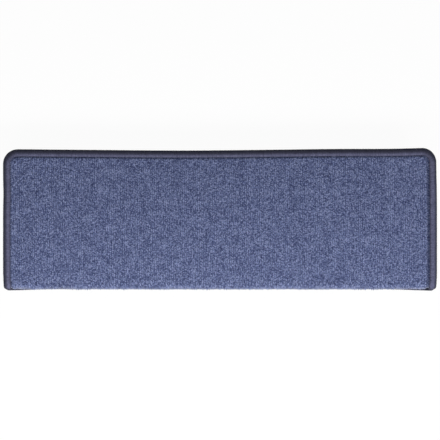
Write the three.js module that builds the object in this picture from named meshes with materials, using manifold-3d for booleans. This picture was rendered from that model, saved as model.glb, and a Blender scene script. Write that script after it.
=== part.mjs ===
// Anti slip stair tread mat: a loop pile carpet that is folded down at the front over the edge of a step,
// whipped with yarn all round, backed with rubber, stiffened by a plastic angle in its fold and stuck to the
// step by two adhesive strips. Millimetres, +Z up, +X along the step, +Y from the front of the step to its
// back. The origin is the middle of the seat, the plane that lies on the step.

import * as THREE from "three";
import { mergeVertices } from "three/addons/utils/BufferGeometryUtils.js";
import Module from "manifold-3d";

const wasm = await Module();
wasm.setup();

// Overall sizes, over the whipped edge
const matLength = 650;
const matDepth = 210;
const matHeight = 40;

// The fold at the front, measured at the seat
const seatRadius = 3.5;
const foldSteps = 5;

// Layers, from the step upwards
const linerThickness = 0.2;
const stripThickness = 1.0;
const angleThickness = 0.9;
const backingThickness = 1.8;
const crushedThickness = 1.8;
const pileThickness = 3.2;
const glueGap = 0.3;

// Rows of loops, which run from the back of the mat over its front edge
const rowPitch = 3.2;
const rowDepth = 0.9;
const pileCornerRadius = 11;
const cornerSteps = 6;

// Whipped edge: yarn wound round the rim, where the pile is crushed flat
const bindingWidth = 11;
const crestInset = 6.6;
const shoulderDrop = 1.0;
const yarnOver = 1.8;
const yarnUnder = 0.9;
const yarnOutside = 2.8;
const rimClearance = 0.3;
const grooveWidth = 1.2;
const roundSteps = 5;

// Plastic angle in the fold
const angleTreadLeg = 30;
const angleMargin = 1.5;

// Adhesive strips under the tread, each under its release liner
const stripWidth = 30;
const stripEndMargin = 28;
const rearStripMargin = 8;
const linerOverhang = 1;
const linerTab = 10;
const linerCornerRadius = 3;

// Heights over the seat, measured square to the sheet
const backingLow = linerThickness + stripThickness;
const carpetLow = backingLow + backingThickness + glueGap;
const crushedHigh = carpetLow + crushedThickness;
const rowCrest = carpetLow + pileThickness;
const slotLow = backingLow - rimClearance;
const slotHigh = crushedHigh + rimClearance;
const bindingLow = slotLow - yarnUnder;
const bindingHigh = slotHigh + yarnOver;
const bindingMiddle = (bindingLow + bindingHigh) / 2;

// How the sheet runs: forwards over the tread, round the fold and down the lip
const lipSeatY = bindingHigh - matDepth / 2;
const foldY = lipSeatY + seatRadius;
const foldZ = -seatRadius;
const treadRun = matDepth / 2 - foldY;
const foldRun = (Math.PI / 2) * (seatRadius + bindingMiddle);
const lipRun = matHeight - bindingHigh - seatRadius;
const sheetRun = treadRun + foldRun + lipRun;

// Insets from the outer edge of the yarn, and the corner radius there
const slotInset = yarnOutside;
const sheetInset = slotInset + rimClearance;
const pileInset = bindingWidth + grooveWidth;
const angleInset = pileInset + angleMargin;
const outerRadius = pileInset + Math.min(pileCornerRadius, lipRun - pileInset);

// Adhesive strips: their length, the middle of their thickness, and where the rear one lies
const stripLength = matLength - 2 * (angleInset + stripEndMargin);
const stripZ = linerThickness + stripThickness / 2;
const rearStripY = matDepth / 2 - pileInset - rearStripMargin - stripWidth / 2;

// Carries a point of the flat sheet to its place in the folded mat
function folded(along, run, height) {
  const turn = THREE.MathUtils.clamp((run - treadRun) / foldRun, 0, 1) * (Math.PI / 2);
  const reach = seatRadius + height;
  const behindFold = Math.max(treadRun - run, 0);
  const belowFold = Math.max(run - treadRun - foldRun, 0);
  return new THREE.Vector3(
    along,
    foldY + behindFold - reach * Math.sin(turn),
    foldZ - belowFold + reach * Math.cos(turn),
  );
}

// The runs at which the fold turns by one step, from its start to its end
function foldRuns() {
  return Array.from({ length: foldSteps + 1 }, (_, i) => treadRun + (foldRun * i) / foldSteps);
}

// Faces of a strip of quads between each ring of points and the next
function sideFaces(ringCount, size, closed) {
  const faces = [];
  for (let i = 0; i < (closed ? ringCount : ringCount - 1); i++) {
    const here = i * size;
    const next = ((i + 1) % ringCount) * size;
    for (let k = 0; k < size; k++) {
      const turned = (k + 1) % size;
      faces.push(here + k, here + turned, next + turned);
      faces.push(here + k, next + turned, next + k);
    }
  }
  return faces;
}

// Faces that close a ring which goes along one side and comes back along the other, point for point
function endFaces(first, size, facesForward) {
  const faces = [];
  for (let k = 0; k < size / 2 - 1; k++) {
    const quad = [k, k + 1, size - 2 - k, size - 1 - k].map((corner) => first + corner);
    const [a, b, c, d] = facesForward ? quad : quad.reverse();
    faces.push(a, b, c, a, c, d);
  }
  return faces;
}

// A solid through rings of points, which closes on itself or is capped at both ends
function loft(rings, closed = false) {
  const size = rings[0].length;
  const faces = sideFaces(rings.length, size, closed);
  if (!closed) {
    faces.push(...endFaces(0, size, false));
    faces.push(...endFaces((rings.length - 1) * size, size, true));
  }
  return new THREE.BufferGeometry().setFromPoints(rings.flat()).setIndex(faces);
}

// A smooth layer that follows the fold, between two runs and two heights, with its corners rounded
function foldedLayer({ inset, startRun, endRun, low, high, radius }) {
  const half = matLength / 2 - inset;
  const turns = Array.from({ length: cornerSteps + 1 }, (_, i) => ((Math.PI / 2) * i) / cornerSteps);
  const corner = turns.map((turn) => ({
    fromEnd: radius * (1 - Math.cos(turn)),
    reach: half - radius * (1 - Math.sin(turn)),
  }));
  const stations = [
    ...corner.map(({ fromEnd, reach }) => ({ run: startRun + fromEnd, reach })),
    ...foldRuns().map((run) => ({ run, reach: half })),
    ...corner.map(({ fromEnd, reach }) => ({ run: endRun - fromEnd, reach })).reverse(),
  ];
  return loft(
    stations.map(({ run, reach }) => [
      folded(-reach, run, low),
      folded(reach, run, low),
      folded(reach, run, high),
      folded(-reach, run, high),
    ]),
  );
}

// A layer of the whole sheet, out to its cut edge inside the whipping
function sheetLayer(low, high) {
  return foldedLayer({
    inset: sheetInset,
    startRun: sheetInset,
    endRun: sheetRun - sheetInset,
    low,
    high,
    radius: outerRadius - sheetInset,
  });
}

// The rows of loops as one solid, with a section at each crest and in each groove
function loopRows(low) {
  const half = matLength / 2 - pileInset;
  const radius = outerRadius - pileInset;
  const rows = Math.round((2 * half) / rowPitch);
  const rings = [];
  for (let i = 0; i <= 2 * rows; i++) {
    const along = half - (half * i) / rows;
    const intoCorner = THREE.MathUtils.clamp(Math.abs(along) - (half - radius), 0, radius);
    const endRun = pileInset + radius - Math.sqrt(radius * radius - intoCorner * intoCorner);
    const high = i % 2 ? rowCrest : rowCrest - rowDepth;
    const runs = [endRun, ...foldRuns(), sheetRun - endRun];
    rings.push([
      ...runs.map((run) => folded(along, run, low)),
      ...runs.map((run) => folded(along, run, high)).reverse(),
    ]);
  }
  return loft(rings);
}

// A three.js geometry as a solid that can be joined
function solidOf(geometry) {
  const merged = mergeVertices(geometry);
  return new wasm.Manifold(
    new wasm.Mesh({
      numProp: 3,
      vertProperties: merged.getAttribute("position").array,
      triVerts: new Uint32Array(merged.getIndex().array),
    }),
  );
}

// Two geometries joined into one
function joined(first, second) {
  const { vertProperties, triVerts } = solidOf(first).add(solidOf(second)).getMesh();
  return new THREE.BufferGeometry()
    .setAttribute("position", new THREE.BufferAttribute(vertProperties, 3))
    .setIndex(new THREE.BufferAttribute(triVerts, 1));
}

// Loop pile on its woven base, which is crushed flat along the rim
function pileCarpet() {
  const insideBase = carpetLow + crushedThickness / 2;
  return joined(sheetLayer(carpetLow, crushedHigh), loopRows(insideBase));
}

// Places on the outer edge of the yarn, once round the sheet, each with its direction outwards
function rimStations() {
  const corner = (quarter) => {
    const side = quarter < 2 ? 1 : -1;
    const atLip = quarter === 1 || quarter === 2;
    const centreAlong = side * (matLength / 2 - outerRadius);
    const centreRun = atLip ? sheetRun - outerRadius : outerRadius;
    return Array.from({ length: cornerSteps + 1 }, (_, i) => {
      const angle = (Math.PI / 2) * (quarter - 1 + i / cornerSteps);
      const outAlong = Math.cos(angle);
      const outRun = Math.sin(angle);
      return {
        along: centreAlong + outerRadius * outAlong,
        run: centreRun + outerRadius * outRun,
        outAlong,
        outRun,
      };
    });
  };
  const side = (sign) =>
    foldRuns().map((run) => ({ along: (sign * matLength) / 2, run, outAlong: sign, outRun: 0 }));
  return [...corner(0), ...side(1), ...corner(1), ...corner(2), ...side(-1).reverse(), ...corner(3)];
}

// Section of the whipping, as insets and heights: flat below, round outside, with a slot for the rim
function bindingSection() {
  const half = (bindingHigh - bindingLow) / 2;
  const arc = Array.from({ length: roundSteps + 1 }, (_, i) => ((Math.PI / 2) * i) / roundSteps);
  const under = arc.map((turn) => [half * (1 - Math.sin(turn)), bindingMiddle - half * Math.cos(turn)]);
  const over = arc.map((turn) => [crestInset * (1 - Math.cos(turn)), bindingMiddle + half * Math.sin(turn)]);
  return [
    [bindingWidth, bindingLow],
    ...under,
    ...over.slice(1),
    [(crestInset + bindingWidth) / 2, bindingHigh - shoulderDrop / 3],
    [bindingWidth, bindingHigh - shoulderDrop],
    [bindingWidth, slotHigh],
    [slotInset, slotHigh],
    [slotInset, slotLow],
    [bindingWidth, slotLow],
  ];
}

// Yarn wound closely round the rim, all the way round the mat
function edgeBinding() {
  const section = bindingSection();
  return loft(
    rimStations().map(({ along, run, outAlong, outRun }) =>
      section.map(([inset, height]) => folded(along - outAlong * inset, run - outRun * inset, height))),
    true,
  );
}

// Angle strip under the backing, which keeps the fold in shape
function nosingAngle() {
  const high = backingLow - glueGap;
  return foldedLayer({
    inset: angleInset,
    startRun: treadRun + seatRadius - angleTreadLeg,
    endRun: sheetRun - angleInset,
    low: high - angleThickness,
    high,
    radius: outerRadius - angleInset,
  });
}

// One adhesive strip
function adhesiveStrip() {
  return new THREE.BoxGeometry(stripLength, stripWidth, stripThickness);
}

// Release liner of one strip, a little wider than it, with a tab to pull at one end
function releaseLiner() {
  const left = -stripLength / 2 - linerOverhang;
  const right = stripLength / 2 + linerTab;
  const half = stripWidth / 2 + linerOverhang;
  const r = linerCornerRadius;
  const outline = new THREE.Shape()
    .absarc(right - r, half - r, r, 0, Math.PI / 2)
    .absarc(left + r, half - r, r, Math.PI / 2, Math.PI)
    .absarc(left + r, r - half, r, Math.PI, 1.5 * Math.PI)
    .absarc(right - r, r - half, r, 1.5 * Math.PI, 2 * Math.PI)
    .closePath();
  return new THREE.ExtrudeGeometry(outline, {
    depth: linerThickness,
    curveSegments: 4,
    bevelEnabled: false,
  });
}

const finishes = {
  pile: new THREE.MeshStandardMaterial({ color: 0x5b6486, roughness: 0.95, metalness: 0 }),
  yarn: new THREE.MeshStandardMaterial({ color: 0x3f4565, roughness: 0.85, metalness: 0 }),
  rubber: new THREE.MeshStandardMaterial({ color: 0x2e3034, roughness: 0.9, metalness: 0 }),
  plastic: new THREE.MeshStandardMaterial({ color: 0x1d1e21, roughness: 0.45, metalness: 0 }),
  adhesive: new THREE.MeshStandardMaterial({ color: 0xd8d6cc, roughness: 0.6, metalness: 0 }),
  liner: new THREE.MeshStandardMaterial({ color: 0xe9e4d2, roughness: 0.5, metalness: 0 }),
};

// A named sub-part at its place
function piece(name, geometry, finish, y = 0, z = 0) {
  const mesh = new THREE.Mesh(geometry, finish);
  mesh.name = name;
  mesh.position.set(0, y, z);
  return mesh;
}

const mat = new THREE.Group();
mat.add(
  piece("pile_carpet", pileCarpet(), finishes.pile),
  piece("backing", sheetLayer(backingLow, backingLow + backingThickness), finishes.rubber),
  piece("edge_binding", edgeBinding(), finishes.yarn),
  piece("nosing_angle", nosingAngle(), finishes.plastic),
  piece("adhesive_strip_middle", adhesiveStrip(), finishes.adhesive, 0, stripZ),
  piece("adhesive_strip_rear", adhesiveStrip(), finishes.adhesive, rearStripY, stripZ),
  piece("release_liner_middle", releaseLiner(), finishes.liner),
  piece("release_liner_rear", releaseLiner(), finishes.liner, rearStripY),
);

export default mat;
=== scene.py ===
"""Dresses an anti slip stair tread mat: loop pile, whipped edge, backing, angle and adhesive strips.

The mat is built as it is made: a flat sheet with rows of loops, whipped round its rim, and then folded down
at the front. A place on the flat sheet has a distance along the mat, a run from its rear edge towards its
lip, and a height over the seat. FoldedForm carries such a place to where it lies in the folded mat.
"""

import logging
import math
import random
from collections.abc import Iterator
from dataclasses import dataclass, field
from enum import Enum

import bmesh
import bpy
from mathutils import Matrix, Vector, noise


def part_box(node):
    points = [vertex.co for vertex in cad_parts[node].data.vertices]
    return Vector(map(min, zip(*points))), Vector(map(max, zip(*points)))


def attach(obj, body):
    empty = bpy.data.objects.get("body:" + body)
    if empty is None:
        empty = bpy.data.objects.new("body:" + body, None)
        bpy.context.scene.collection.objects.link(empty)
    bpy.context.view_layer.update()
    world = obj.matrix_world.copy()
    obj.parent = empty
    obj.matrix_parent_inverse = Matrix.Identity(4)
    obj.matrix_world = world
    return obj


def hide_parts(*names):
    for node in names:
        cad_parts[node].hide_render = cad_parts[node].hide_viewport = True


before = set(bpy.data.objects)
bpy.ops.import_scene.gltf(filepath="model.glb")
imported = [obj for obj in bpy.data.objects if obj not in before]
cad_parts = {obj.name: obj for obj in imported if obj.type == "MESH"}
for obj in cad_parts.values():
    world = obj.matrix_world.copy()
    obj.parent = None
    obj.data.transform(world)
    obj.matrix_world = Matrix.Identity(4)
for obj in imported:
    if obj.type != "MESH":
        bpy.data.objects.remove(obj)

log = logging.getLogger("stair_mat")

MM = 0.001
BODY = "root"
QUARTER = math.pi / 2
WHITE = (1.0, 1.0, 1.0)
BLACK = (0.0, 0.0, 0.0)

# Layers of the noise in drift, far enough apart to have nothing in common.
LIFT_LAYER = 0.0
RIPPLE_LAYER = 3.0
SWAY_LAYER = 8.0

Pair = tuple[float, float]
Triple = tuple[float, float, float]
Colour = Triple
Mesh = bmesh.types.BMesh
Material = bpy.types.Material
Piece = bpy.types.Object
Node = bpy.types.Node
Socket = bpy.types.NodeSocket
Inputs = dict[str | int, object]


def smooth_step(low: float, high: float, value: float) -> float:
    """Rises smoothly from 0 at low to 1 at high.

    Args:
        low: Value at which the step begins.
        high: Value at which it ends.
        value: Where it is read.

    Returns:
        A number from 0 to 1.
    """
    share = min(max((value - low) / (high - low), 0.0), 1.0)
    return share * share * (3 - 2 * share)


def hump(value: float, middle: float, width: float) -> float:
    """A smooth bump of height 1 round middle."""
    return math.exp(-(((value - middle) / width) ** 2))


def drift(along: float, run: float, grain: float, layer: float) -> float:
    """Smooth noise from about -1 to 1 over the flat sheet, in patches of about the size of grain."""
    return noise.noise(Vector((along / grain, run / grain, layer)))


@dataclass(frozen=True)
class Wave:
    """A smooth swell of an edge, or a hollow in a face.

    Attributes:
        place: Where it is highest or deepest.
        size: Its height or depth there, which is less than 0 where an edge stands back.
        width: How far it spreads.
    """

    place: float
    size: float
    width: float

    def at(self, distance: float) -> float:
        """Its height or depth at a distance along the edge or the face."""
        return self.size * hump(distance, self.place, self.width)


@dataclass(frozen=True)
class Wander:
    """How far the soft mat strays from a ruled shape, as the photograph shows it.

    Attributes:
        rear: Swells of the rear edge, placed along the mat.
        left: Swells of the left edge, placed down the run.
        right: Swells of the right edge, placed down the run.
        edge_fade: Distance from an edge over which its swells die out.
        lip: Swells of the lip's whipped edge, placed along the mat.
        tuck: How far the fold above it stands back, placed along the mat.
        roll: Shares of the way down the lip between which it rolls out to those swells.
        corner_roll: How much sooner it does so in the lip's corners.
        corner_reach: Distances from the mat's ends between which that sets in.
        lip_end_fade: Distance from the mat's ends over which the lip and the fold turn in.
        front_bulge: How far the fold stands out in front of its ruled place.
        ripple: How far the fold ripples.
        ripple_grain: Length of those ripples.
        lift: How far the upper face rises and falls.
        lift_grain: Size of the patches in which it does.
    """

    rear: tuple[Wave, ...] = (
        Wave(-300 * MM, 0.4 * MM, 40 * MM),
        Wave(-60 * MM, -1.5 * MM, 130 * MM),
        Wave(190 * MM, 0.9 * MM, 80 * MM),
        Wave(325 * MM, 2.4 * MM, 60 * MM),
    )
    left: tuple[Wave, ...] = (Wave(67 * MM, -0.5 * MM, 18 * MM), Wave(205 * MM, -0.8 * MM, 15 * MM))
    right: tuple[Wave, ...] = (Wave(20 * MM, -0.9 * MM, 35 * MM), Wave(207 * MM, -0.8 * MM, 12 * MM))
    edge_fade: float = 60 * MM
    lip: tuple[Wave, ...] = (Wave(-308 * MM, 1.6 * MM, 32 * MM), Wave(311 * MM, 1.8 * MM, 40 * MM))
    tuck: tuple[Wave, ...] = (Wave(-315 * MM, 0.8 * MM, 32 * MM), Wave(318 * MM, 1.1 * MM, 60 * MM))
    roll: Pair = (0.55, 0.85)
    corner_roll: float = 0.38
    corner_reach: Pair = (20 * MM, 6 * MM)
    lip_end_fade: float = 8 * MM
    front_bulge: float = 0.5 * MM
    ripple: float = 0.25 * MM
    ripple_grain: float = 40 * MM
    lift: float = 0.3 * MM
    lift_grain: float = 65 * MM

    def backwards(self, along: float, run: float) -> float:
        """How far a place near the rear edge is carried to the rear."""
        share = 1 - smooth_step(0, self.edge_fade, run)
        return share * sum(wave.at(along) for wave in self.rear) if share else 0.0

    def outwards(self, along: float, run: float, end: float) -> float:
        """How far a place near a side edge is carried away from the mat's middle."""
        share = smooth_step(end - self.edge_fade, end, abs(along))
        waves = self.right if along > 0 else self.left
        return share * sum(wave.at(run) for wave in waves) if share else 0.0

    def forwards(self, along: float, down: float, fold: float, end: float) -> float:
        """How far a place on the fold or the lip is carried forwards.

        Args:
            along: Distance from the mat's middle, to the right.
            down: Share of the way from the start of the fold to the lip's lower edge.
            fold: Share of the way through the fold.
            end: Distance from the mat's middle to either side edge.

        Returns:
            The distance.
        """
        kept = 1 - smooth_step(end - self.lip_end_fade, end, abs(along))
        rippled = self.ripple * drift(along, 0, self.ripple_grain, RIPPLE_LAYER)
        far, near = self.corner_reach
        sooner = self.corner_roll * smooth_step(end - far, end - near, abs(along))
        at_lip = smooth_step(self.roll[0] - sooner, self.roll[1] - sooner, down)
        flare = sum(wave.at(along) for wave in self.lip) * at_lip
        tucked = sum(wave.at(along) for wave in self.tuck) * fold * (1 - at_lip)
        return (flare - tucked + self.front_bulge * fold) * kept + rippled * fold

    def upwards(self, along: float, run: float) -> float:
        """How far the upper face is lifted."""
        return self.lift * drift(along, run, self.lift_grain, LIFT_LAYER)


@dataclass(frozen=True)
class FoldedForm:
    """The sheet's form: how long it is, where it folds and how its corners are rounded.

    Attributes:
        length: Length over the whipped edge.
        rear: Y of the rear edge.
        front: Y of the furthest point of the fold.
        crown: Height of the whipped edge over the seat, the greatest there is.
        lip_end: Z of the lip's lower edge.
        seat_radius: Radius of the fold at the seat.
        corner_radius: Radius of the sheet's corners at the outer edge of the yarn.
        sheet_inset: Distance from the outer edge of the yarn to the carpet's cut edge.
        pile_inset: Distance from the outer edge of the yarn to the first loops.
        wander: How far the soft mat strays from a ruled shape.
        free_at: Shares of the crown's height between which the wandering of the front sets in.
    """

    length: float
    rear: float
    front: float
    crown: float
    lip_end: float
    seat_radius: float = 3.5 * MM
    corner_radius: float = 22.0 * MM
    sheet_inset: float = 3.1 * MM
    pile_inset: float = 12.2 * MM
    wander: Wander = Wander()
    free_at: Pair = (0.4, 0.9)

    @classmethod
    def from_frame(cls) -> "FoldedForm":
        """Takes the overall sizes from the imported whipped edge."""
        low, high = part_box("edge_binding")
        return cls(length=high[0] - low[0], rear=high[1], front=low[1], crown=high[2], lip_end=low[2])

    @property
    def end(self) -> float:
        """Distance from the mat's middle to either side edge."""
        return self.length / 2

    @property
    def fold_y(self) -> float:
        """Y of the fold's axis."""
        return self.front + self.crown + self.seat_radius

    @property
    def tread_run(self) -> float:
        """Run from the rear edge to the start of the fold."""
        return self.rear - self.fold_y

    @property
    def fold_run(self) -> float:
        """Length of the fold, at the middle of the sheet's thickness."""
        return QUARTER * (self.seat_radius + self.crown / 2)

    @property
    def sheet_run(self) -> float:
        """Whole run, from the rear edge to the lip's lower edge."""
        return self.tread_run + self.fold_run - self.seat_radius - self.lip_end

    def place(self, along: float, run: float, height: float, at_backing: bool = False) -> Vector:
        """Carries a place on the flat sheet to its place in the folded mat.

        Args:
            along: Distance from the mat's middle, to the right.
            run: Distance from the rear edge of the sheet towards its lip.
            height: Height over the seat, square to the sheet.
            at_backing: Whether it lies against the backing's cut edge, which keeps its ruled shape.

        Returns:
            The point in the mat's frame.
        """
        lifted = height + self.wander.upwards(along, run) * smooth_step(0, self.crown, height)
        turn = min(max((run - self.tread_run) / self.fold_run, 0.0), 1.0) * QUARTER
        reach = self.seat_radius + lifted
        behind = max(self.tread_run - run, 0.0)
        below = max(run - self.tread_run - self.fold_run, 0.0)
        down = max(run - self.tread_run, 0.0) / (self.sheet_run - self.tread_run)
        backwards = 0.0 if at_backing else self.wander.backwards(along, run)
        outwards = 0.0 if at_backing else self.wander.outwards(along, run, self.end)
        free = smooth_step(self.free_at[0] * self.crown, self.free_at[1] * self.crown, height)
        forwards = free * self.wander.forwards(along, down, turn / QUARTER, self.end)
        return Vector(
            (
                along + (outwards if along > 0 else -outwards),
                self.fold_y + behind - reach * math.sin(turn) + backwards - forwards,
                -self.seat_radius - below + reach * math.cos(turn),
            )
        )


class Corner(Enum):
    """A corner of the flat sheet: its side, whether it is on the lip, and the quarter turn of its arc."""

    REAR_RIGHT = (1, False, -1)
    LIP_RIGHT = (1, True, 0)
    LIP_LEFT = (-1, True, 1)
    REAR_LEFT = (-1, False, 2)

    def centre(self, form: FoldedForm) -> Pair:
        """Centre of the corner's arc, along the mat and down its run."""
        side, on_lip, _ = self.value
        run = form.sheet_run - form.corner_radius if on_lip else form.corner_radius
        return side * (form.end - form.corner_radius), run


@dataclass(frozen=True)
class RimPlace:
    """A place on the outer edge of the yarn, with its direction outwards."""

    along: float
    run: float
    out_along: float
    out_run: float


class RimPath:
    """The way once round the sheet's outer edge: each corner's arc and the straight side after it."""

    def __init__(self, form: FoldedForm) -> None:
        """Measures the arcs and the sides of the sheet."""
        self.form = form
        self.arc = QUARTER * form.corner_radius
        down_run = form.sheet_run - 2 * form.corner_radius
        lengthways = form.length - 2 * form.corner_radius
        self.sides = {
            Corner.REAR_RIGHT: down_run,
            Corner.LIP_RIGHT: lengthways,
            Corner.LIP_LEFT: down_run,
            Corner.REAR_LEFT: lengthways,
        }

    @property
    def total(self) -> float:
        """Length of the whole way round."""
        return 4 * self.arc + sum(self.sides.values())

    def at(self, distance: float) -> RimPlace:
        """Finds the place at a distance along the way.

        Args:
            distance: Distance from the start of the rear right corner, which may pass the whole way.

        Returns:
            The place on the rim.
        """
        left = distance % self.total
        for corner, side in self.sides.items():
            if left <= self.arc + side:
                break
            left -= self.arc + side
        centre_along, centre_run = corner.centre(self.form)
        angle = QUARTER * (corner.value[2] + min(left / self.arc, 1.0))
        straight = max(left - self.arc, 0.0)
        out_along, out_run = math.cos(angle), math.sin(angle)
        return RimPlace(
            centre_along + self.form.corner_radius * out_along - straight * out_run,
            centre_run + self.form.corner_radius * out_run + straight * out_along,
            out_along,
            out_run,
        )


def grid_cells(mesh: Mesh, columns: int, steps: int) -> Iterator[tuple[bmesh.types.BMVert, int, int]]:
    """Gives each vertex of a fresh grid of size 1 with its column and step.

    Args:
        mesh: Holds the grid and nothing else.
        columns: Count of the grid's segments along X.
        steps: Count of its segments along Y.

    Yields:
        The vertex, its column from 0 to columns and its step from 0 to steps.
    """
    for vert in mesh.verts:
        yield vert, round((vert.co.x + 1) / 2 * columns), round((vert.co.y + 1) / 2 * steps)


def lay_map(mesh: Mesh, name: str, counts: list[Pair]) -> None:
    """Gives a mesh smooth faces and a UV map.

    Args:
        mesh: The mesh, with its vertices in their first order.
        name: Name of the map.
        counts: Each vertex's place on the map.
    """
    layer = mesh.loops.layers.uv.new(name)
    for face in mesh.faces:
        face.smooth = True
        for corner in face.loops:
            corner[layer].uv = counts[corner.vert.index]


def new_object(name: str, data: bpy.types.ID) -> Piece:
    """Places an object in the scene that shows a mesh, a light or a camera."""
    made = bpy.data.objects.new(name, data)
    bpy.context.scene.collection.objects.link(made)
    return made


def new_mesh_object(name: str, mesh: Mesh, material: Material) -> Piece:
    """Places an object in the scene that shows a bmesh in a material, and frees the bmesh."""
    data = bpy.data.meshes.new(name)
    mesh.to_mesh(data)
    mesh.free()
    data.materials.append(material)
    return new_object(name, data)


def finished_piece(name: str, mesh: Mesh, material: Material) -> Piece:
    """Turns a bmesh into a piece at the origin that rides on the mat's body.

    Args:
        name: Name of the piece.
        mesh: Its shape, in the mat's frame. It is freed here.
        material: Its material.

    Returns:
        The new object.
    """
    bmesh.ops.recalc_face_normals(mesh, faces=mesh.faces)
    piece = new_mesh_object(name, mesh, material)
    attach(piece, BODY)
    triangles = sum(len(face.vertices) - 2 for face in piece.data.polygons)
    log.info("%s: %d vertices, %d triangles", name, len(piece.data.vertices), triangles)
    return piece


class LoopPart(Enum):
    """What lies where two grid lines of the pile cross."""

    GROUND = "ground between two rows"
    DIP = "dip between two loops of a row"
    TOP = "top of a loop"


@dataclass
class LoopPile:
    """The carpet: rows of loops on a woven base, whose rim is crushed flat under the whipping.

    Attributes:
        form: The folded sheet.
        row_pitch: Distance from one row of loops to the next.
        stitch: Length of one loop along its row.
        base_height: Height of the base's lower face over the seat.
        least_thickness: Thickness that the carpet keeps where it lies lowest.
        rim_height: Height of the crushed rim.
        rim_fade: Distances inside the first loops between which the pile rises from the rim.
        left_rise: How much higher the crushed rim stands at the left side.
        left_from: Shares of the way to the left side between which it rises so.
        left_fade: Distance from the fold over which that rise dies out.
        valley_height: Height of the ground between two rows.
        dip_height: Height of a row where two of its loops meet.
        loop_height: Height of a loop's top.
        lean: How far a loop's top strays from its place.
        unevenness: How far a loop's height strays.
        opening: How many times further it strays on the fold, where the rows open, less 1.
        ground_unevenness: How far the ground between two rows rises here and there.
        ground_give: Share of a loop's leaning and settling that the ground beside it takes on.
        row_drift: How far the rows wander sideways, together with their neighbours.
        drift_grain: Size of the patches that wander together.
        side_hollow: The hollow that the whipping draws, measured from the last loops at the right side; its
            lowered loops also take painted shade, which darkens the groove there.
        crease: The crease where the fold begins, measured from there.
        dent: The dent in the fold near its left end, placed along the mat.
        seed: Seed of the loops' unevenness.
        rim_places: Places of the cut edge on the flat sheet, by column and step, noted while it is built.
    """

    form: FoldedForm
    row_pitch: float = 3.2 * MM
    stitch: float = 2.9 * MM
    base_height: float = 3.3 * MM
    least_thickness: float = 0.5 * MM
    rim_height: float = 4.6 * MM
    rim_fade: Pair = (-0.6 * MM, 1.8 * MM)
    left_rise: float = 0.7 * MM
    left_from: Pair = (0.94, 0.96)
    left_fade: float = 10 * MM
    valley_height: float = 4.8 * MM
    dip_height: float = 5.8 * MM
    loop_height: float = 6.7 * MM
    lean: float = 0.34 * MM
    unevenness: float = 0.26 * MM
    opening: float = 1.1
    ground_unevenness: float = 0.52 * MM
    ground_give: float = 0.4
    row_drift: float = 0.5 * MM
    drift_grain: float = 80 * MM
    side_hollow: Wave = Wave(-0.8 * MM, 2.4 * MM, 1.8 * MM)
    crease: Wave = Wave(1 * MM, 0.45 * MM, 3 * MM)
    dent: Wave = Wave(-239 * MM, 0.9 * MM, 20 * MM)
    seed: int = 7
    rim_places: dict[tuple[int, int], Pair] = field(default_factory=dict)

    COLUMNS_PER_ROW = 3
    STEPS_PER_LOOP = 2
    RIM_STEPS = 2

    # A grid line that is this near to a whole row or loop counts as being on it.
    ROUNDING_ROOM = 0.01

    def build(self, material: Material) -> Piece:
        """Makes the carpet as one closed mesh."""
        rows = round((self.form.length - 2 * self.form.pile_inset) / self.row_pitch)
        loops = round((self.form.sheet_run - 2 * self.form.pile_inset) / self.stitch)
        columns = rows * self.COLUMNS_PER_ROW + 2 * self.RIM_STEPS
        steps = loops * self.STEPS_PER_LOOP + 2 * self.RIM_STEPS
        mesh = bmesh.new()
        bmesh.ops.create_grid(mesh, x_segments=columns, y_segments=steps, size=1)
        self._shape_loops(mesh, columns, steps)
        self._close_below(mesh, columns, steps)
        piece = finished_piece("loop_pile", mesh, material)
        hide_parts("pile_carpet")
        return piece

    def _grid_line(self, index: int, last: int, per_repeat: int, reach: float) -> Pair:
        """Where a grid line lies, and its number in rows or loops.

        Args:
            index: Number of the grid line.
            last: Number of the last grid line.
            per_repeat: Grid lines in one row or loop.
            reach: Width of the whole sheet in this direction.

        Returns:
            The distance from the sheet's edge, and the count of rows or loops up to the line.
        """
        repeats = (last - 2 * self.RIM_STEPS) / per_repeat
        count = (index - self.RIM_STEPS) / per_repeat
        rim_step = (self.form.pile_inset - self.form.sheet_inset) / self.RIM_STEPS
        if index < self.RIM_STEPS:
            return self.form.sheet_inset + index * rim_step, count
        if index > last - self.RIM_STEPS:
            return reach - self.form.sheet_inset - (last - index) * rim_step, count
        return self.form.pile_inset + (reach - 2 * self.form.pile_inset) * count / repeats, count

    def _shape_loops(self, mesh: Mesh, columns: int, steps: int) -> None:
        """Raises a flat grid into rows of loops and lays it over the fold."""
        form = self.form
        draw = random.Random(self.seed)
        column_layer = mesh.verts.layers.int.new("column")
        step_layer = mesh.verts.layers.int.new("step")
        depth_layer = mesh.verts.layers.float.new("loop_height")
        strays: dict[tuple[int, int], Triple] = {}
        counts = []
        for vert, column, step in grid_cells(mesh, columns, steps):
            from_left, row = self._grid_line(column, columns, self.COLUMNS_PER_ROW, form.length)
            run, loop = self._grid_line(step, steps, self.STEPS_PER_LOOP, form.sheet_run)
            along = from_left - form.end
            counts.append((row, loop))
            cell = (math.floor(row + self.ROUNDING_ROOM), math.floor(loop + self.ROUNDING_ROOM))
            if cell not in strays:
                strays[cell] = tuple(draw.gauss(0, 1) for _ in range(3))
            part = self._part(column, step, steps)
            share = self._inside(along, run)
            height = self._standing(part, along, run, strays[cell][2])
            sideways, onwards = self._strayed(part, cell[0], strays[cell])
            sway = self.row_drift * drift(along, run, self.drift_grain, SWAY_LAYER)
            along, run = self._drawn_in(along + share * (sideways + sway), run + share * onwards)
            rim_height = self._rim_height(along, run)
            height = rim_height + (height - rim_height) * share
            at_cut_edge = column in (0, columns) or step in (0, steps)
            vert.co = form.place(along, run, height, at_backing=at_cut_edge)
            vert[column_layer], vert[step_layer] = column, step
            # Height share that the pile's material turns into painted shade: darker between rows and in
            # hollows.
            vert[depth_layer] = (height - self.valley_height) / (self.loop_height - self.valley_height)
            if at_cut_edge:
                self.rim_places[column, step] = (along, run)
        lay_map(mesh, "rows", counts)

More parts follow.
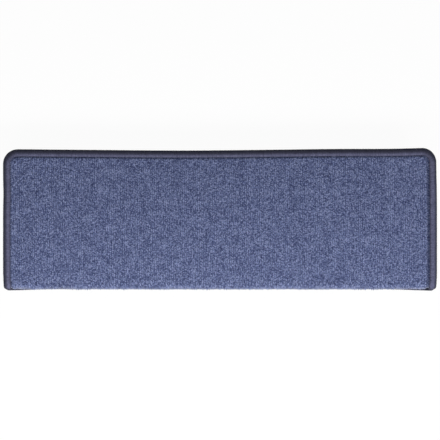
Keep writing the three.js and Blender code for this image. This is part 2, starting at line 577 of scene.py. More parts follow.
    def _part(self, column: int, step: int, steps: int) -> LoopPart:
        """What lies where a column and a step of the grid cross."""
        between_rows = (column - self.RIM_STEPS) % self.COLUMNS_PER_ROW == 0
        if between_rows or step in (self.RIM_STEPS, steps - self.RIM_STEPS):
            return LoopPart.GROUND
        return LoopPart.TOP if (step - self.RIM_STEPS) % self.STEPS_PER_LOOP else LoopPart.DIP

    def _standing(self, part: LoopPart, along: float, run: float, stray: float) -> float:
        """How high a part of a loop stands, away from the crushed rim.

        Args:
            part: The part.
            along: Distance from the mat's middle, to the right.
            run: Distance from the rear edge.
            stray: How far its height strays, in shares of the unevenness.

        Returns:
            Its height over the seat.
        """
        settled = self._settled(along, run)
        if part is LoopPart.GROUND:
            height = self.valley_height + abs(stray) * self.ground_unevenness - self.ground_give * settled
        else:
            height = self.dip_height if part is LoopPart.DIP else self.loop_height
            height += stray * self.unevenness * (1 + self.opening * self._over_fold(run)) - settled
        return max(height, self.base_height + self.least_thickness)

    def _strayed(self, part: LoopPart, row: int, stray: Triple) -> Pair:
        """How far a part of a loop lies from its place, across its row and along it.

        Args:
            part: The part.
            row: Number of its row, as each second row is staggered.
            stray: How far it strays both ways, in shares of the lean.

        Returns:
            Both distances.
        """
        on_ground = part is LoopPart.GROUND
        give = self.ground_give if on_ground else 1.0
        stagger = 0.0 if on_ground else (row % 2 - 0.5) / 2
        return stray[0] * self.lean * give, stray[1] * self.lean * give + stagger * self.stitch

    def _inside(self, along: float, run: float) -> float:
        """1 where the loops stand, 0 on the crushed rim, with a soft edge between."""
        form = self.form
        radius = form.corner_radius - form.pile_inset
        from_side = form.end - form.pile_inset - abs(along)
        from_end = min(run, form.sheet_run - run) - form.pile_inset
        depth = min(from_side, from_end)
        if from_side < radius and from_end < radius:
            depth = radius - math.hypot(radius - from_side, radius - from_end)
        return smooth_step(*self.rim_fade, depth)

    def _over_fold(self, run: float) -> float:
        """1 at the lower end of the fold, and less above and below it."""
        return hump(run, self.form.tread_run + self.form.fold_run, self.form.fold_run)

    def _rim_height(self, along: float, run: float) -> float:
        """Height of the crushed rim, which rises along the left side of the tread."""
        at_left = smooth_step(*self.left_from, -along / self.form.end)
        on_tread = smooth_step(0, self.left_fade, self.form.tread_run - run)
        return self.rim_height + self.left_rise * (at_left * on_tread)

    def _settled(self, along: float, run: float) -> float:
        """How far the loops lie lower, which deepens their painted shade too: in the side's hollow, and in
        the fold's crease and dent.
        """
        creased = self.crease.at(run - self.form.tread_run)
        dented = self.dent.at(along) * self._over_fold(run)
        hollowed = self.side_hollow.at(along - self.form.end + self.form.pile_inset)
        return creased + dented + hollowed

    def _drawn_in(self, along: float, run: float) -> Pair:
        """Draws the square grid in to the sheet's rounded corners, outside the loops alone."""
        form = self.form
        side = 1 if along > 0 else -1
        end = 1 if run > form.sheet_run / 2 else -1
        centre_along = side * (form.end - form.corner_radius)
        centre_run = form.sheet_run - form.corner_radius if end > 0 else form.corner_radius
        right, down = side * (along - centre_along), end * (run - centre_run)
        kept = form.corner_radius - form.pile_inset
        far = math.hypot(right, down)
        if right <= 0 or down <= 0 or far <= kept:
            return along, run
        rim = form.corner_radius - form.sheet_inset
        square = rim * far / max(right, down)
        scale = (kept + (far - kept) * (rim - kept) / (square - kept)) / far
        return centre_along + side * right * scale, centre_run + end * down * scale

    def _close_below(self, mesh: Mesh, columns: int, steps: int) -> None:
        """Gives the sheet its cut edge, and a plain lower face that the backing covers."""
        column_layer = mesh.verts.layers.int["column"]
        step_layer = mesh.verts.layers.int["step"]
        rim = [edge for edge in mesh.edges if edge.is_boundary]
        made = bmesh.ops.extrude_edge_only(mesh, edges=rim)["geom"]
        below = {}
        for vert in made:
            if isinstance(vert, bmesh.types.BMVert):
                key = (vert[column_layer], vert[step_layer])
                vert.co = self.form.place(*self.rim_places[key], self.base_height, at_backing=True)
                below[key] = vert
        lower = []
        for step in range(steps):
            here, there = (
                [below[column, line] for column in range(columns + 1) if (column, line) in below]
                for line in (step, step + 1)
            )
            lower.append(mesh.faces.new(here + there[::-1]))
        bmesh.ops.poke(mesh, faces=[lower[0], lower[-1]])


@dataclass(frozen=True)
class SectionPoint:
    """A point of the whipping's section, with its direction outwards, which is none inside the slot."""

    inset: float
    height: float
    lean_out: float = 0.0
    lean_up: float = 0.0


@dataclass(frozen=True)
class PaintedShading:
    """How the whipping is rubbed pale.

    Attributes:
        span: Distances from the outer edge over which the painted shade of the outer slope gives way to the
            own colour.
        rear_shift: How much further in both lie at the rear, whose outer slope faces away from the light.
        left_shift: How much further in both lie at the left side, which also faces away from the light.
        upwards: How far the yarn faces upwards where the painted shade of faces turned down starts to lift,
            and where it is gone.
        shoulder: Shares of the whipping's width between which the shoulder takes painted shade.
        shoulder_shade: Share of the colour that the painted shade takes off the shoulder, beside the groove.
        lip: Shares of the way through the fold between which the lip darkens.
        lip_darkening: Share by which the fold and the lip are darker.
        corner_darkening: Share by which a corner is darker.
        downwards: How far the yarn faces downwards where the lower face comes out of the painted shade.
        lower: How much of the yarn's own colour the lower face keeps there.
        in_gaps: Share of the colour kept in the gap beside a turn, the rest being painted shade.
    """

    span: Pair = (1.8 * MM, 5.6 * MM)
    rear_shift: float = 3.4 * MM
    left_shift: float = 1.6 * MM
    upwards: Pair = (-0.2, 0.6)
    shoulder: Pair = (0.8, 1.0)
    shoulder_shade: float = 0.65
    lip: Pair = (0.4, 1.0)
    lip_darkening: float = 0.85
    corner_darkening: float = 0.35
    downwards: Pair = (0.3, 0.9)
    lower: float = 0.6
    in_gaps: float = 0.82

    def at(self, place: RimPlace, spot: SectionPoint, width: float, folded: float) -> float:
        """How much of the yarn's own colour is left at one point, outside the painted shade.

        Args:
            place: The place on the rim beside it.
            spot: The point of the section.
            width: Width of the whipping.
            folded: Share of the way through the fold.

        Returns:
            A number from 0 to 1.
        """
        shift = self.rear_shift * max(-place.out_run, 0.0) + self.left_shift * max(-place.out_along, 0.0)
        unshaded = smooth_step(self.span[0] + shift, self.span[1] + shift, spot.inset)
        shoulder = 1 - self.shoulder_shade * smooth_step(*self.shoulder, spot.inset / width)
        unshaded *= smooth_step(*self.upwards, spot.lean_up) * shoulder
        unshaded *= 1 - self.lip_darkening * smooth_step(*self.lip, folded)
        unshaded *= 1 - self.corner_darkening * abs(2 * place.out_along * place.out_run)
        return max(unshaded, self.lower * smooth_step(*self.downwards, -spot.lean_up))


@dataclass
class WhippedEdge:
    """Yarn wound closely round the rim, all the way round the sheet.

    Attributes:
        form: The folded sheet.
        wrap_pitch: Distance from one turn of the yarn to the next.
        slant_steps: How many steps of the mesh a turn runs on along the rim while it goes once round it.
        relief: How far a turn stands out of the gap beside it.
        slack: How far the turns' tension varies.
        painted_shading: The shade painted on it.
        width: Width of the whipping, from its outer edge to its inner one.
        crest_inset: Distance from the outer edge to the highest line.
        shoulder_drop: How far the inner edge lies below that line.
        slot_inset: Thickness of the yarn outside the carpet's cut edge.
        slot_low: Lower side of the slot in which the rim lies.
        slot_high: Upper side of that slot.
        seed: Seed of the turns' unevenness.
    """

    form: FoldedForm
    wrap_pitch: float = 1.75 * MM
    slant_steps: int = 7
    relief: float = 0.3 * MM
    slack: float = 0.05 * MM
    painted_shading: PaintedShading = PaintedShading()
    width: float = 11 * MM
    crest_inset: float = 6.6 * MM
    shoulder_drop: float = 1.0 * MM
    slot_inset: float = 2.8 * MM
    slot_low: float = 0.9 * MM
    slot_high: float = 5.4 * MM
    seed: int = 11

    STEPS_PER_WRAP = 3
    ROUND_STEPS = 5
    WELD = 0.001 * MM

    # Half way down the shoulder, the part of its drop, and the yarn's direction there and at its foot.
    HALFWAY_DROP = 1 / 3
    HALFWAY_LEAN = (-0.3, 0.95)
    FOOT_LEAN = (-0.6, 0.8)

    def build(self, material: Material) -> Piece:
        """Makes the whipping as one closed ring."""
        path = RimPath(self.form)
        wraps = round(path.total / self.wrap_pitch)
        columns = wraps * self.STEPS_PER_WRAP
        section = self._section()
        mesh = bmesh.new()
        bmesh.ops.create_grid(mesh, x_segments=columns, y_segments=len(section), size=1)
        draw = random.Random(self.seed)
        tension = [draw.gauss(0, self.slack) for _ in range(wraps)]
        # Painted shade of the whipping: 1 keeps the yarn's own colour, 0 is full painted shade.
        unshaded_layer = mesh.verts.layers.float.new("unshaded")
        counts = []
        for vert, column, step in grid_cells(mesh, columns, len(section)):
            spot = section[step % len(section)]
            turn = column / self.STEPS_PER_WRAP
            round_share = step / len(section)
            counts.append((turn, round_share))
            run_on = self.slant_steps / self.STEPS_PER_WRAP * round_share
            place = path.at((turn + run_on) / wraps * path.total)
            on_turn = column % self.STEPS_PER_WRAP != 0
            folded = (place.run - place.out_run * spot.inset - self.form.tread_run) / self.form.fold_run
            # Painted shade at this point of the section.
            unshaded = self.painted_shading.at(place, spot, self.width, folded)
            # The gap beside a turn takes more painted shade.
            vert[unshaded_layer] = unshaded if on_turn else unshaded * self.painted_shading.in_gaps
            out = 0.0
            if spot.lean_out or spot.lean_up:
                out = tension[int(turn) % wraps] if on_turn else -self.relief
            inset = spot.inset - spot.lean_out * out
            height = spot.height + spot.lean_up * out
            along, run = place.along - place.out_along * inset, place.run - place.out_run * inset
            vert.co = self.form.place(along, run, height, at_backing=inset == self.slot_inset)
        lay_map(mesh, "turns", counts)
        bmesh.ops.remove_doubles(mesh, verts=mesh.verts, dist=self.WELD)
        piece = finished_piece("whipped_edge", mesh, material)
        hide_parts("edge_binding")
        return piece

    def _section(self) -> list[SectionPoint]:
        """Section of the whipping, once round from the slot's lower inner corner."""
        crown, crest, width = self.form.crown, self.crest_inset, self.width
        middle = crown / 2
        turns = [QUARTER * i / self.ROUND_STEPS for i in range(self.ROUND_STEPS + 1)]
        slot_in = [SectionPoint(inset, self.slot_low) for inset in (self.slot_inset, width)]
        below = [SectionPoint(width, 0.0, 0.0, -1.0)] + [
            SectionPoint(middle * (1 - math.sin(t)), middle * (1 - math.cos(t)), math.sin(t), -math.cos(t))
            for t in turns
        ]
        above = [
            SectionPoint(crest * (1 - math.cos(t)), middle * (1 + math.sin(t)), math.cos(t), math.sin(t))
            for t in turns[1:]
        ]
        halfway = crown - self.shoulder_drop * self.HALFWAY_DROP
        shoulder = [
            SectionPoint((crest + width) / 2, halfway, *self.HALFWAY_LEAN),
            SectionPoint(width, crown - self.shoulder_drop, *self.FOOT_LEAN),
        ]
        slot_out = [SectionPoint(inset, self.slot_high) for inset in (width, self.slot_inset)]
        return slot_in + below + above + shoulder + slot_out


class Graph:
    """Adds nodes to a node tree and joins their sockets."""

    def __init__(self, tree: bpy.types.NodeTree) -> None:
        """Takes the tree to draw in."""
        self.tree = tree

    def add(self, kind: str, inputs: Inputs | None = None, **settings: object) -> Node:
        """Adds one node.

        Args:
            kind: Its type, without the leading ShaderNode.
            inputs: What its inputs hold: a socket to join, or a value.
            settings: Its own settings.

        Returns:
            The node.
        """
        node = self.tree.nodes.new("ShaderNode" + kind)
        for name, value in settings.items():
            setattr(node, name, value)
        self.feed(node, inputs or {})
        return node

    def feed(self, node: Node, inputs: Inputs) -> None:
        """Joins sockets to a node's inputs, or sets their values."""
        for key, value in inputs.items():
            if isinstance(value, Socket):
                self.tree.links.new(value, node.inputs[key])
            else:
                node.inputs[key].default_value = value

    def math(self, operation: str, *values: Socket | float, clamp: bool = False) -> Socket:
        """A Math node's result."""
        return self.add("Math", dict(enumerate(values)), operation=operation, use_clamp=clamp).outputs[0]

    def vector(self, operation: str, *values: Socket | Triple) -> Socket:
        """A Vector Math node's result."""
        return self.add("VectorMath", dict(enumerate(values)), operation=operation).outputs[0]

    def axes(self, vector: Socket) -> list[Socket]:
        """The X, Y and Z of a vector."""
        return list(self.add("SeparateXYZ", {0: vector}).outputs)

    def noise(self, at: Socket, scale: float, detail: float, roughness: float = 0.5) -> Node:
        """A Noise Texture node."""
        return self.add("TexNoise", {"Vector": at, "Scale": scale, "Detail": detail, "Roughness": roughness})

    def chance(self, cell: Socket) -> Socket:
        """A random number from 0 to 1 for each cell."""
        return self.add("TexWhiteNoise", {"Vector": cell}, noise_dimensions="3D").outputs["Value"]

    def mix(self, share: Socket | float, first: Socket | tuple, second: Socket | tuple) -> Socket:
        """A mix of two colours."""
        return self.add("Mix", {0: share, 6: first, 7: second}, data_type="RGBA").outputs[2]

    def ramp(self, value: Socket, low: float, high: float, start: float = 0.0, stop: float = 1.0) -> Socket:
        """A value carried from one range to another, and held there."""
        return self.add("MapRange", {0: value, 1: low, 2: high, 3: start, 4: stop}).outputs[0]

    def any_ray(self, *kinds: str) -> Socket:
        """1 for a ray that is of one of the given kinds, and else 0."""
        rays = self.add("LightPath").outputs
        found = rays[kinds[0]]
        for kind in kinds[1:]:
            found = self.math("MAXIMUM", found, rays[kind])
        return found


def new_material(name: str) -> tuple[Material, Graph, Node]:
    """A new material, with a graph to draw its nodes in and its Principled shader."""
    material = bpy.data.materials.new(name)
    material.use_nodes = True
    return material, Graph(material.node_tree), material.node_tree.nodes["Principled BSDF"]


def with_alpha(colour: Colour) -> tuple[float, float, float, float]:
    """A colour as a socket takes it."""
    return (*colour, 1.0)


class EffectGroup:
    """A shader node group with named inputs and outputs, built once and used by several materials."""

    def __init__(self, name: str, inputs: dict[str, str], outputs: dict[str, str]) -> None:
        """Makes the empty group.

        Args:
            name: Name of the group.
            inputs: Socket types of its inputs, by name.
            outputs: Socket types of its outputs, by name.
        """
        self.tree = bpy.data.node_groups.new(name, "ShaderNodeTree")
        for in_out, sockets in (("INPUT", inputs), ("OUTPUT", outputs)):
            for socket_name, kind in sockets.items():
                self.tree.interface.new_socket(socket_name, in_out=in_out, socket_type="NodeSocket" + kind)
        self.graph = Graph(self.tree)
        self.inputs = self.tree.nodes.new("NodeGroupInput").outputs
        self.outputs = self.tree.nodes.new("NodeGroupOutput").inputs

    def put_out(self, **sockets: Socket) -> None:
        """Joins results to the group's outputs."""
        for name, socket in sockets.items():
            self.tree.links.new(socket, self.outputs[name])

    def use(self, graph: Graph, inputs: Inputs) -> Node:
        """Places the group in a material with its own values."""
        return graph.add("Group", inputs, node_tree=self.tree)


@dataclass(frozen=True)
class SpunYarn:
    """Melange yarn that is laid in cells, one for each loop or turn, of which each takes its own shade.

    Attributes:
        bends: How many times the border of a cell bends along its side.
        bend: How far it bends each way, as a share of a cell.
        plies: How many plies a cell is split into, each way.
        ply_start: Where the first of them begins, which also sets their shades apart from the cells'.
        row_gap: Distance in the noise from one row's streaks to the next row's.
        clouds: How many broad clouds of shade there are to a cell.
        cell_share: How much the cell counts in the shade.
        ply_share: How much the ply counts.
        fleck_share: How much the flecks count.
        streak_share: How much the streaks along a row count.
        cloud_share: How much the clouds count.
        middle: Level of the shade at which the yarn has its middle colour.
    """

    bends: float = 2.6
    bend: Triple = (0.9, 0.9, 0.0)
    plies: Triple = (2.0, 3.0, 1.0)
    ply_start: Triple = (0.5, 0.5, 7.0)
    row_gap: float = 7.3
    clouds: float = 0.2
    cell_share: float = 0.1
    ply_share: float = 0.4
    fleck_share: float = 1.65
    streak_share: float = 0.3
    cloud_share: float = 0.3
    middle: float = 0.5

    def build(self) -> EffectGroup:
        """Makes the node group."""
        group = EffectGroup(
            "spun_yarn",
            {
                "Cells": "Vector",
                "Fleck Scale": "Vector",
                "Streak Length": "Float",
                "Dark": "Color",
                "Middle": "Color",
                "Pale": "Color",
                "Spread": "Float",
                "Twist Along": "Float",
                "Twist Across": "Float",
            },
            {"Color": "Color", "Twist": "Float"},
        )
        g, given = group.graph, group.inputs
        level = self._level(g, given)
        lower = g.mix(g.ramp(level, 0.0, self.middle), given["Dark"], given["Middle"])
        colour = g.mix(g.ramp(level, self.middle, 1.0), lower, given["Pale"])
        across, along, _ = g.axes(given["Cells"])
        across = g.math("MULTIPLY", across, given["Twist Across"])
        along = g.math("MULTIPLY", along, given["Twist Along"])
        twist = g.math("SINE", g.math("MULTIPLY", g.math("ADD", across, along), 2 * math.pi))
        group.put_out(Color=colour, Twist=twist)
        return group

    def _level(self, g: Graph, given: bpy.types.NodeOutputs) -> Socket:
        """How pale the yarn is, from 0 to 1.

        Args:
            g: Graph of the group.
            given: What the group is given.

        Returns:
            The level.
        """
        cells = given["Cells"]
        bent = g.vector("MULTIPLY_ADD", g.noise(cells, self.bends, 1.0).outputs["Color"], self.bend, cells)
        cell = g.vector("FLOOR", bent)
        ply = g.vector("FLOOR", g.vector("MULTIPLY_ADD", bent, self.plies, self.ply_start))
        row = g.math("MULTIPLY", g.axes(cell)[0], self.row_gap)
        along = g.math("DIVIDE", g.axes(cells)[1], given["Streak Length"])
        streaks = g.add("CombineXYZ", {0: row, 1: along}).outputs[0]
        flecks = g.vector("MULTIPLY", cells, given["Fleck Scale"])
        mixed = self.middle
        for part, share in (
            (g.chance(cell), self.cell_share),
            (g.chance(ply), self.ply_share),
            (g.noise(flecks, 1.0, 2.0).outputs[0], self.fleck_share),
            (g.noise(streaks, 1.0, 1.0).outputs[0], self.streak_share),
            (g.noise(cells, self.clouds, 1.0).outputs[0], self.cloud_share),
        ):
            weight = g.math("MULTIPLY", given["Spread"], share)
            mixed = g.math("MULTIPLY_ADD", g.math("SUBTRACT", part, self.middle), weight, mixed)
        return g.math("ADD", mixed, 0.0, clamp=True)


@dataclass(frozen=True)
class MouldedSkin:
    """Uneven colour, gloss and relief of a flat made surface: rubber, plastic, foam or paper.

    Attributes:
        roughness: How much the broad patches are broken up.
        fine: How many fine patches there are to a broad one, along each axis.
        worn_at: Values of the broad patches between which the worn colour sets in.
        broad_share: Share of the relief that the broad patches make.
        fine_share: Share of it that the fine ones make.
    """

    roughness: float = 0.6
    fine: float = 9.0
    worn_at: Pair = (0.35, 0.7)
    broad_share: float = 0.6
    fine_share: float = 0.4

    def build(self) -> EffectGroup:
        """Makes the node group."""
        group = EffectGroup(
            "moulded_skin",
            {
                "Vector": "Vector",
                "Stretch": "Vector",
                "Color": "Color",
                "Worn Color": "Color",
                "Roughness": "Float",
                "Roughness Spread": "Float",
            },
            {"Color": "Color", "Roughness": "Float", "Height": "Float"},
        )
        g, given = group.graph, group.inputs
        at = g.vector("MULTIPLY", given["Vector"], given["Stretch"])
        broad = g.noise(at, 1.0, 4.0, self.roughness).outputs[0]
        fine = g.noise(at, self.fine, 2.0).outputs[0]
        spread = g.math("MULTIPLY", g.math("SUBTRACT", fine, 0.5), given["Roughness Spread"])
        relief = (g.math("MULTIPLY", broad, self.broad_share), g.math("MULTIPLY", fine, self.fine_share))
        group.put_out(
            Color=g.mix(g.ramp(broad, *self.worn_at), given["Color"], given["Worn Color"]),
            Roughness=g.math("ADD", given["Roughness"], spread, clamp=True),
            Height=g.math("ADD", *relief),
        )
        return group


@dataclass(frozen=True)
class YarnFinish:
    """A finish of spun yarn.

    Attributes:
        name: Name of the material.
        uv_map: Map that counts the cells of the yarn.
        dark: Colour of its darkest fibres.
        middle: Colour of most of its fibres.
        pale: Colour of its palest fibres.
        spread: How strongly the shades differ.
        streak_length: How many cells a shade keeps on for.
        fleck_scale: How many flecks a cell holds, each way.
        twist_along: Turns of the plies in a cell, along it.
        twist_across: Turns of the plies in a cell, across it.
        twist_depth: Depth of the grooves between the plies.
        sheen: How much light the loose fibres catch.
        painted_shade_colour: Colour of the painted shade in the ground between the pile's rows and on the
            whipping's shaded parts.
        own_colour_in_shade: Share of the yarn's own colour that is left where that painted shade is deepest.
        full_shade_at: Value of the attribute where the painted shade is deepest.
        shade_mask_attribute: Attribute of the mesh that sets the painted shade; near 1 on top of the yarn,
            where none is painted.
    """

    name: str
    uv_map: str
    dark: Colour
    middle: Colour
    pale: Colour
    spread: float
    streak_length: float
    fleck_scale: Triple
    twist_along: float
    twist_across: float
    twist_depth: float
    sheen: float
    painted_shade_colour: Colour
    own_colour_in_shade: float
    full_shade_at: float
    shade_mask_attribute: str

    # Value of the attribute from which on no shade is painted.
    TOP_AT = 0.9
    FIBRES_PER_CELL = 14.0
    BUMP_STRENGTH = 0.8
    ROUGHNESS = 0.85
    SPECULAR = 0.2
    SHEEN_ROUGHNESS = 0.5
    SHEEN_TINT = (0.82, 0.86, 1.0)

    def material(self, yarn: EffectGroup) -> Material:
        """Makes the material from the yarn group."""
        material, g, shader = new_material(self.name)
        cells = g.add("UVMap", uv_map=self.uv_map).outputs[0]
        spun = yarn.use(
            g,
            {
                "Cells": cells,
                "Fleck Scale": self.fleck_scale,
                "Streak Length": self.streak_length,
                "Dark": with_alpha(self.dark),
                "Middle": with_alpha(self.middle),
                "Pale": with_alpha(self.pale),
                "Spread": self.spread,
                "Twist Along": self.twist_along,
                "Twist Across": self.twist_across,
            },
        )
        depth = g.add("Attribute", attribute_name=self.shade_mask_attribute).outputs["Fac"]
        # Painted shade: the colour darkens towards the shade colour where the attribute is low.
        share = g.ramp(depth, self.full_shade_at, self.TOP_AT, self.own_colour_in_shade, 1.0)
        fibres = g.noise(cells, self.FIBRES_PER_CELL, 2.0).outputs[0]
        height = g.math("ADD", spun.outputs["Twist"], fibres)
        bump = g.add("Bump", {"Height": height, "Distance": self.twist_depth, "Strength": self.BUMP_STRENGTH})
        g.feed(
            shader,
            {
                "Base Color": g.mix(share, with_alpha(self.painted_shade_colour), spun.outputs["Color"]),
                "Normal": bump.outputs[0],
                "Roughness": self.ROUGHNESS,
                "Specular IOR Level": self.SPECULAR,
                "Sheen Weight": self.sheen,
                "Sheen Roughness": self.SHEEN_ROUGHNESS,
                "Sheen Tint": with_alpha(self.SHEEN_TINT),
            },
        )
        return material


@dataclass(frozen=True)
class SkinFinish:
    """A finish of a flat made surface.

    Attributes:
        name: Name of the material.
        colour: Its colour.
        worn: Its colour where it is rubbed or dusty.
        roughness: Its roughness.
        roughness_spread: How far its roughness varies.
        stretch: How many patches a metre holds, along each axis.
        relief: Depth of its unevenness.
        waffle_pitch: Distance between the bumps of a waffled face, or 0 for a plain one.
        waffle_depth: Height of those bumps.
    """

    name: str
    colour: Colour
    worn: Colour
    roughness: float
    roughness_spread: float
    stretch: Triple
    relief: float
    waffle_pitch: float = 0.0
    waffle_depth: float = 0.0

    # Painted shade in the waffle's grooves: it fades out at this height of the bumps, and darkens the
    # groove's floor by this share.
    GROOVE_UP_TO = 0.5
    GROOVE_SHADE = 0.55

    def material(self, skin: EffectGroup) -> Material:
        """Makes the material from the skin group."""
        material, g, shader = new_material(self.name)
        place = g.add("TexCoord").outputs["Object"]
        made = skin.use(
            g,
            {
                "Vector": place,
                "Stretch": self.stretch,
                "Color": with_alpha(self.colour),
                "Worn Color": with_alpha(self.worn),
                "Roughness": self.roughness,
                "Roughness Spread": self.roughness_spread,
            },
        )
        bump = g.add("Bump", {"Height": made.outputs["Height"], "Distance": self.relief, "Strength": 1.0})
        colour = made.outputs["Color"]
        if self.waffle_pitch:
            waffle = self._waffle(g, place)
            bump = g.add("Bump", {"Height": waffle, "Distance": self.waffle_depth, "Normal": bump.outputs[0]})
            # Painted shade in the grooves between the waffle's bumps.
            shade = g.ramp(waffle, 0.0, self.GROOVE_UP_TO, self.GROOVE_SHADE, 0.0)
            colour = g.mix(shade, colour, with_alpha(BLACK))
        g.feed(
            shader,
            {"Base Color": colour, "Roughness": made.outputs["Roughness"], "Normal": bump.outputs[0]},
        )
        return material

    def _waffle(self, g: Graph, place: Socket) -> Socket:
        """Rounded bumps in a square grid, which runs on over the fold."""
        axes = g.axes(place)
        down = g.math("ADD", axes[1], axes[2])
        waves = [
            g.math("ABSOLUTE", g.math("SINE", g.math("MULTIPLY", way, math.pi / self.waffle_pitch)))
            for way in (axes[0], down)
        ]
        return g.math("MINIMUM", *waves)


PILE_YARN = YarnFinish(
    name="melange_pile",
    uv_map="rows",
    dark=(0.038, 0.049, 0.132),
    middle=(0.106, 0.138, 0.286),
    pale=(0.262, 0.304, 0.502),
    spread=2.0,
    streak_length=4.0,
    fleck_scale=(1.4, 1.35, 1.0),
    twist_along=1.0,
    twist_across=1.4,
    twist_depth=0.12 * MM,
    sheen=0.5,
    # Painted shade in the ground between rows, darker still in hollows below it.
    painted_shade_colour=(0.006, 0.010, 0.040),
    own_colour_in_shade=0.0,
    full_shade_at=-0.8,
    shade_mask_attribute="loop_height",
)

WHIPPING_YARN = YarnFinish(
    name="navy_whipping",
    uv_map="turns",
    dark=(0.045, 0.046, 0.082),
    middle=(0.098, 0.101, 0.175),
    pale=(0.160, 0.162, 0.260),
    spread=0.8,
    streak_length=1.0,
    fleck_scale=(1.0, 12.0, 1.0),
    twist_along=14.0,
    twist_across=1.0,
    twist_depth=0.08 * MM,
    sheen=0.04,
    # Painted shade on the whipping, set by its unshaded attribute.
    painted_shade_colour=(0.004, 0.004, 0.008),
    own_colour_in_shade=0.28,
    full_shade_at=0.0,
    shade_mask_attribute="unshaded",
)


class Underside(Enum):
    """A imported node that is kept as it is, with the finish of what it is made of."""

    BACKING = (
        ("backing",),
        SkinFinish(
            name="rubber_backing",
            colour=(0.030, 0.032, 0.037),
            worn=(0.052, 0.054, 0.060),
            roughness=0.82,
            roughness_spread=0.2,
            stretch=(26.0, 26.0, 26.0),
            relief=0.15 * MM,
            waffle_pitch=3.0 * MM,
            waffle_depth=0.5 * MM,
        ),
    )
    ANGLE = (
        ("nosing_angle",),
        SkinFinish(
            name="angle_plastic",
            colour=(0.012, 0.013, 0.015),
            worn=(0.022, 0.023, 0.026),
            roughness=0.42,
            roughness_spread=0.25,
            stretch=(3.0, 400.0, 400.0),
            relief=0.05 * MM,
        ),
    )
    STRIPS = (
        ("adhesive_strip_middle", "adhesive_strip_rear"),
        SkinFinish(
            name="adhesive_foam",
            colour=(0.62, 0.60, 0.53),
            worn=(0.70, 0.68, 0.62),
            roughness=0.7,
            roughness_spread=0.2,
            stretch=(300.0, 300.0, 300.0),
            relief=0.05 * MM,
        ),
    )
    LINERS = (
        ("release_liner_middle", "release_liner_rear"),
        SkinFinish(
            name="liner_paper",
            colour=(0.78, 0.73, 0.58),
            worn=(0.84, 0.80, 0.68),
            roughness=0.45,
            roughness_spread=0.3,
            stretch=(14.0, 30.0, 14.0),
            relief=0.1 * MM,
        ),
    )

    def dress(self, skin: EffectGroup) -> None:
        """Gives the nodes their material."""
        nodes, finish = self.value
        material = finish.material(skin)
        for name in nodes:
            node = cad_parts[name]
            for slot in node.material_slots:
                slot.material = material
            log.info("%s: %s", name, finish.name)


@dataclass(frozen=True)
class Lamp:
    """A soft light that faces the mat and isn't seen itself.

    Attributes:
        name: Its name.
        at: Its place.
        size: Its width and height.
        watts: Its power.
    """

    name: str
    at: Triple
    size: Pair
    watts: float

    def build(self) -> None:
        """Places it in the scene."""
        light = bpy.data.lights.new(self.name, "AREA")
        light.shape = "RECTANGLE"
        light.size, light.size_y = self.size
        light.energy = self.watts
        lamp = new_object(self.name, light)
        lamp.location = self.at
        lamp.rotation_euler = (-Vector(self.at)).to_track_quat("-Z", "Y").to_euler()
        lamp.visible_camera = False


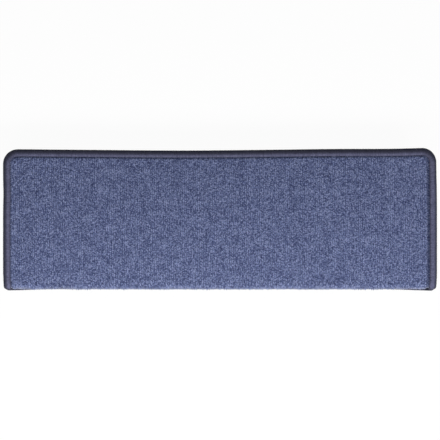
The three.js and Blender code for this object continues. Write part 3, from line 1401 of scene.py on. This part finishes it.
@dataclass(frozen=True)
class Studio:
    """The pale floor, the plain light and the camera over the mat.

    Attributes:
        photo_side: Width of the photograph's frame in pixels.
        outline: Width of the mat's outline there.
        middle_x: Pixel of the outline's middle, from the left.
        middle_y: Pixel of the outline's middle, from the top.
        camera_height: Height of the camera over the mat.
        sensor: Width of the camera's sensor in millimetres.
        clip: Distances from the camera between which things are seen.
        floor_gap: Distance from the lip's lower edge down to the floor.
        floor_side: Side of the floor.
        floor_grey: How much light the floor gives back.
        floor_glow: Share of its whiteness that no shadow takes away.
        lamps: The key light to the front and right, a long low light close in front, and a light for the
            underside, which passes up through the floor.
        sky: Strength of the light from all round.
    """

    photo_side: float = 440.0
    outline: float = 434.1
    middle_x: float = 220.0
    middle_y: float = 219.55
    camera_height: float = 3.0
    sensor: float = 36.0
    clip: Pair = (0.05, 100.0)
    floor_gap: float = 0.5 * MM
    floor_side: float = 30.0
    floor_grey: float = 0.95
    floor_glow: float = 0.95
    lamps: tuple[Lamp, ...] = (
        Lamp("key", at=(8.0, -6.9, 6.9), size=(3.2, 3.2), watts=640.0),
        Lamp("fill", at=(0.0, -0.42, 0.40), size=(1.8, 0.2), watts=5.9),
        Lamp("under", at=(0.0, -0.3, -1.5), size=(1.5, 1.5), watts=12.0),
    )
    sky: float = 0.22

    SEEN_RAYS = ("Is Camera Ray", "Is Glossy Ray", "Is Transmission Ray")
    PASSING_RAYS = ("Is Shadow Ray", "Is Diffuse Ray")

    def build(self, form: FoldedForm) -> None:
        """Makes the floor, the lights and the camera."""
        self._floor(form.lip_end - self.floor_gap)
        for lamp in self.lamps:
            lamp.build()
        self._sky()
        self._camera(form)
        bpy.context.scene.view_settings.view_transform = "Standard"

    def _floor(self, height: float) -> None:
        """A white floor with a faint shadow, which is clear from below and to light on the underside."""
        mesh = bmesh.new()
        bmesh.ops.create_grid(mesh, x_segments=1, y_segments=1, size=self.floor_side / 2)
        bmesh.ops.translate(mesh, verts=mesh.verts, vec=(0, 0, height))
        material, g, shader = new_material("white_floor")
        nodes = material.node_tree.nodes
        nodes.remove(shader)
        matt = g.add("BsdfDiffuse", {"Color": with_alpha((self.floor_grey,) * 3)}).outputs[0]
        bright = g.add("Emission", {"Color": with_alpha(WHITE), "Strength": 1.0}).outputs[0]
        clear = g.add("BsdfTransparent").outputs[0]
        glow = g.math("MULTIPLY", g.any_ray(*self.SEEN_RAYS), self.floor_glow)
        lit = g.add("MixShader", {0: glow, 1: matt, 2: bright}).outputs[0]
        from_below = g.add("NewGeometry").outputs["Backfacing"]
        passed = g.math("MAXIMUM", from_below, g.any_ray(*self.PASSING_RAYS))
        surface = g.add("MixShader", {0: passed, 1: lit, 2: clear}).outputs[0]
        g.feed(nodes["Material Output"], {"Surface": surface})
        new_mesh_object("floor", mesh, material)

    def _sky(self) -> None:
        """Even light from all round, in front of a white background."""
        world = bpy.data.worlds.new("studio")
        world.use_nodes = True
        bpy.context.scene.world = world
        g = Graph(world.node_tree)
        strength = g.ramp(g.any_ray(*self.SEEN_RAYS), 0.0, 1.0, self.sky, 1.0)
        g.feed(world.node_tree.nodes["Background"], {"Color": with_alpha(WHITE), "Strength": strength})

    def _camera(self, form: FoldedForm) -> None:
        """A long lens straight above the mat, which frames it as the photograph does."""
        scale = form.length / self.outline
        camera = bpy.data.cameras.new("camera")
        camera.sensor_width = self.sensor
        camera.lens = self.sensor * self.camera_height / (self.photo_side * scale)
        camera.clip_start, camera.clip_end = self.clip
        eye = new_object("camera", camera)
        eye.location = (
            (self.photo_side / 2 - self.middle_x) * scale,
            (self.middle_y - self.photo_side / 2) * scale,
            self.camera_height + form.crown / 2,
        )
        bpy.context.scene.camera = eye


def main() -> None:
    """Builds the mat's pieces, dresses what is kept, and sets up the studio."""
    logging.basicConfig(level=logging.INFO, format="%(name)s %(message)s")
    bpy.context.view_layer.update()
    form = FoldedForm.from_frame()
    Studio().build(form)
    yarn, skin = SpunYarn().build(), MouldedSkin().build()
    edge = WhippedEdge(form).build(WHIPPING_YARN.material(yarn))
    pile = LoopPile(form).build(PILE_YARN.material(yarn))
    for node in Underside:
        node.dress(skin)


if __name__ == "__main__":
    main()
